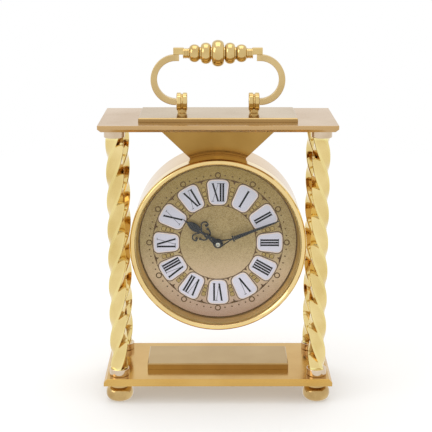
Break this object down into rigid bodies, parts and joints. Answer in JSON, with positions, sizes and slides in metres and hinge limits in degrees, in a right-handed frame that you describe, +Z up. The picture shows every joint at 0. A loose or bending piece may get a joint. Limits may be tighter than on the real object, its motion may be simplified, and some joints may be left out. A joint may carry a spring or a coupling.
{
  "type": "mantel clock",
  "caption": "brass mantel clock with a round drum dial hung between two bevelled plates on twisted columns, beaded bail handle on top and bun feet",
  "frame": {"origin": "centre of the plates, on the surface that the feet stand on", "axes": "X right, Y to the back so that the dial faces -Y, Z up"},
  "size_m": [0.14, 0.066, 0.2195],
  "materials": {
    "polished_brass": "polished and lacquered, mirror-like",
    "plate_brass": "polished and lacquered flat plate",
    "satin_brass": "satin, lightly brushed in circles",
    "plated_steel": "turned, zinc plated",
    "clear_glass": "clear mineral glass",
    "satin_dial": "satin gilt, printed ornament in dark brown",
    "white_enamel": "glossy white enamel with dark printed numerals",
    "blued_steel": "blue-black lacquer on thin steel",
    "nickel": "nickel plated",
    "black_plastic": "fine moulded texture",
    "white_plastic": "moulded acetal",
    "green_board": "lacquered board",
    "wound_copper": "enamelled copper wire between plastic cheeks",
    "battery_sleeve": "plain printed sleeve, metal ends"
  },
  "bodies": {
    "frame": {"base_pad": "plate_brass", "base_pad_screws": "plated_steel", "base_plate": "plate_brass", "battery_contacts": "nickel", "bezel": "polished_brass", "bezel_glass": "clear_glass", "bracket_screws": "plated_steel", "circuit_board": "green_board", "column_back_left": "polished_brass", "column_back_right": "polished_brass", "column_front_left": "polished_brass", "column_front_right": "polished_brass", "dial_plate": "satin_dial", "dial_posts": "nickel", "dial_ring": "polished_brass", "dial_spacer": "black_plastic", "drive_coil": "wound_copper", "drum_case": "polished_brass", "drum_screws": "plated_steel", "foot_back_left": "polished_brass", "foot_back_right": "polished_brass", "foot_front_left": "polished_brass", "foot_front_right": "polished_brass", "foot_studs": "plated_steel", "hanger_bracket": "polished_brass", "knuckle_left": "polished_brass", "knuckle_right": "polished_brass", "lower_collar_back_left": "polished_brass", "lower_collar_back_right": "polished_brass", "lower_collar_front_left": "polished_brass", "lower_collar_front_right": "polished_brass", "movement_back_plate": "black_plastic", "movement_case": "black_plastic", "movement_clips": "nickel", "numeral_plaques": "white_enamel", "top_pad": "plate_brass", "top_pad_screws": "plated_steel", "top_plate": "plate_brass", "top_studs": "plated_steel", "upper_collar_back_left": "polished_brass", "upper_collar_back_right": "polished_brass", "upper_collar_front_left": "polished_brass", "upper_collar_front_right": "polished_brass"},
    "handle": {"handle_grip": "polished_brass", "handle_strap_left": "polished_brass", "handle_strap_right": "polished_brass", "pivot_pins": "plated_steel", "handle_screws": "plated_steel"},
    "minute": {"minute_arbor": "plated_steel", "minute_hand": "blued_steel", "hand_nut": "nickel"},
    "hour": {"hour_wheel": "white_plastic", "hour_hand": "blued_steel"},
    "setting": {"setting_wheel": "white_plastic", "setting_knob": "black_plastic"},
    "cover": {"rear_cover": "satin_brass"},
    "cell": {"battery": "battery_sleeve"}
  },
  "joints": [
    {"name": "handle_fold", "type": "hinge", "parent": "frame", "child": "handle", "pos_m": [0, 0, 0.18255], "axis": [1, 0, 0], "range_deg": [-90, 90]},
    {"name": "minute_turn", "type": "hinge", "parent": "frame", "child": "minute", "pos_m": [0, -0.0182, 0.0982], "axis": [0, 1, 0], "continuous": true},
    {"name": "hour_turn", "type": "hinge", "parent": "frame", "child": "hour", "pos_m": [0, -0.0164, 0.0982], "axis": [0, 1, 0], "continuous": true},
    {"name": "setting_turn", "type": "hinge", "parent": "frame", "child": "setting", "pos_m": [0, 0.0055, 0.1102], "axis": [0, 1, 0], "continuous": true},
    {"name": "rear_cover_off", "type": "slide", "parent": "frame", "child": "cover", "axis": [0, 1, 0], "range_m": [0, 0.03]},
    {"name": "battery_out", "type": "slide", "parent": "frame", "child": "cell", "axis": [0, 1, 0], "range_m": [0, 0.0155]}
  ],
  "couplings": [
    {"joint": "hour_turn", "follows": "minute_turn", "ratio": 0.083333},
    {"joint": "setting_turn", "follows": "minute_turn", "ratio": -0.33333}
  ]
}
